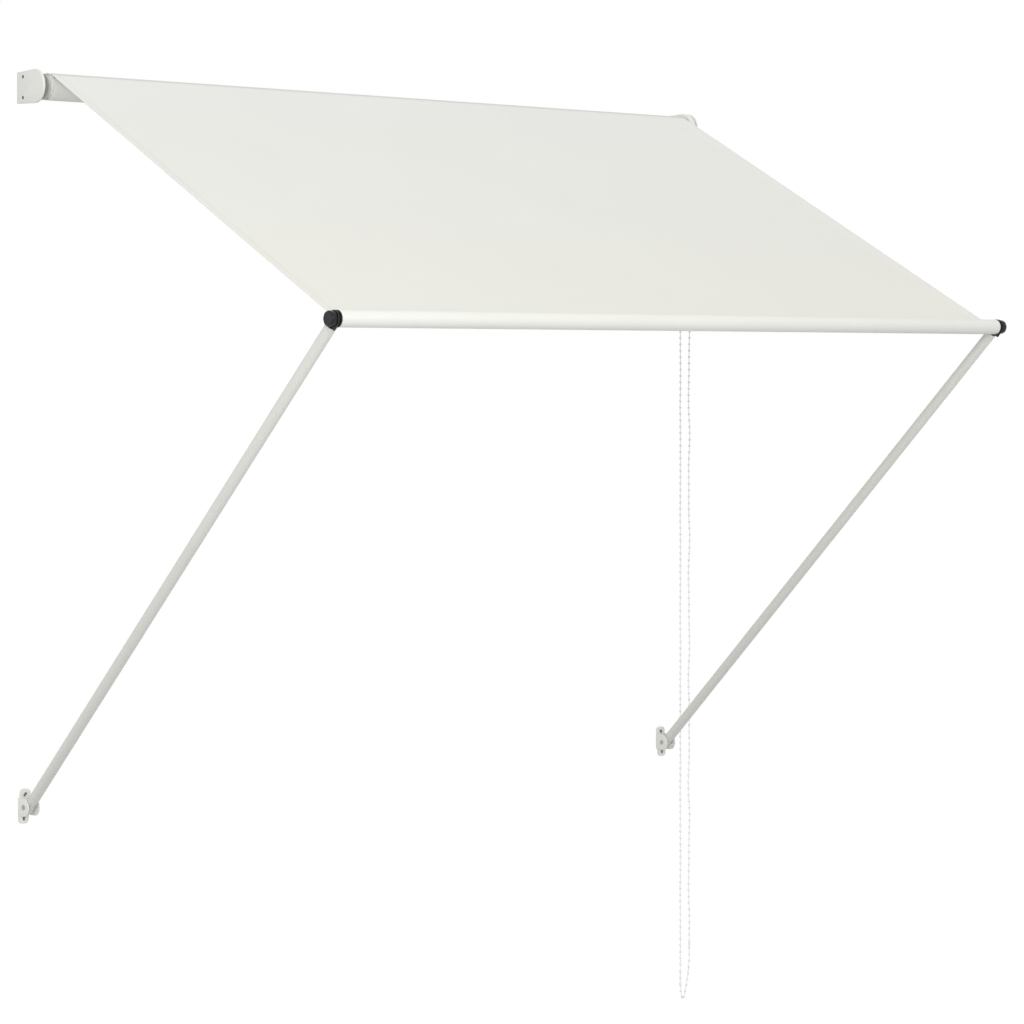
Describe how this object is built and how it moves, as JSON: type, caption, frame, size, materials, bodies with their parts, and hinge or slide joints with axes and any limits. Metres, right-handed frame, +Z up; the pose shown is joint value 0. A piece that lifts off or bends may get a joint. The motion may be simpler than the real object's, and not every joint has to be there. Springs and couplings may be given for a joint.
{
  "type": "drop-arm awning",
  "caption": "Wall-mounted canvas awning with a chain-driven roller, a flat cream cloth, a round front bar and hinged tube arms that drop it forward.",
  "frame": {"origin": "middle of the back face of the left roller bracket's wall flange, at the height of the roller's axis", "axes": "+X along the wall towards the chain end, +Y into the wall, +Z up; the cloth goes out towards -Y"},
  "size_m": [1.4398, 0.8575, 1.673],
  "materials": {
    "cream_paint": "satin powder coat",
    "cream_plastic": "fine satin",
    "cream_cloth": "plain woven",
    "black_plastic": "satin",
    "zinc_steel": "zinc plated",
    "dark_steel": "black oxide",
    "white_nylon": "satin"
  },
  "bodies": {
    "wall_parts": {"left_roller_bracket": "cream_paint", "left_bracket_cover": "cream_plastic", "left_cover_screw_upper": "dark_steel", "left_cover_screw_lower": "dark_steel", "idler_pin": "zinc_steel", "right_roller_bracket": "cream_paint", "right_bracket_cover": "cream_plastic", "right_cover_screw_upper": "dark_steel", "right_cover_screw_lower": "dark_steel", "chain_guard": "cream_plastic", "clutch_hub": "zinc_steel", "clutch_spring": "zinc_steel", "bead_chain": "white_nylon", "cloth_sheet": "cream_cloth", "left_foot_bracket": "cream_paint", "left_foot_pin": "zinc_steel", "right_foot_bracket": "cream_paint", "right_foot_pin": "zinc_steel"},
    "roller": {"roller_tube": "cream_paint", "idler_plug": "white_nylon", "idler_bush": "white_nylon", "drive_plug": "white_nylon", "chain_sprocket": "white_nylon", "cloth_roll": "cream_cloth"},
    "left_arm": {"left_arm_tube": "cream_paint", "left_foot_plug": "white_nylon", "left_arm_head": "black_plastic"},
    "right_arm": {"right_arm_tube": "cream_paint", "right_foot_plug": "white_nylon", "right_arm_head": "black_plastic"},
    "front_bar": {"front_bar": "cream_paint", "hem_keder": "cream_cloth", "left_bar_cap": "black_plastic", "right_bar_cap": "black_plastic"},
    "left_knob": {"left_knob": "black_plastic", "left_knob_bolt": "zinc_steel"},
    "right_knob": {"right_knob": "black_plastic", "right_knob_bolt": "zinc_steel"}
  },
  "joints": [
    {"name": "left_arm_swing", "type": "hinge", "parent": "wall_parts", "child": "left_arm", "pos_m": [-0.019, -0.0165, -1.164], "axis": [1, 0, 0], "range_deg": [-43, 34], "deforming": ["cloth_sheet"]},
    {"name": "right_arm_swing", "type": "hinge", "parent": "wall_parts", "child": "right_arm", "pos_m": [1.381, -0.0165, -1.164], "axis": [1, 0, 0], "range_deg": [-43, 34]},
    {"name": "roller_turn", "type": "hinge", "parent": "wall_parts", "child": "roller", "pos_m": [0.69, -0.053, 0], "axis": [1, 0, 0], "range_deg": [-2150, 1700], "deforming": ["bead_chain"]},
    {"name": "bar_turn", "type": "hinge", "parent": "left_arm", "child": "front_bar", "pos_m": [0.681, -0.84471, -0.38354], "axis": [1, 0, 0], "range_deg": [-20, 20]},
    {"name": "left_knob_turn", "type": "hinge", "parent": "front_bar", "child": "left_knob", "pos_m": [-0.022, -0.84471, -0.38354], "axis": [-1, 0, 0], "range_deg": [0, 360]},
    {"name": "right_knob_turn", "type": "hinge", "parent": "front_bar", "child": "right_knob", "pos_m": [1.384, -0.84471, -0.38354], "axis": [1, 0, 0], "range_deg": [0, 360]}
  ],
  "couplings": [
    {"joint": "right_arm_swing", "follows": "left_arm_swing", "ratio": 1},
    {"joint": "roller_turn", "follows": "left_arm_swing", "ratio": 50}
  ]
}
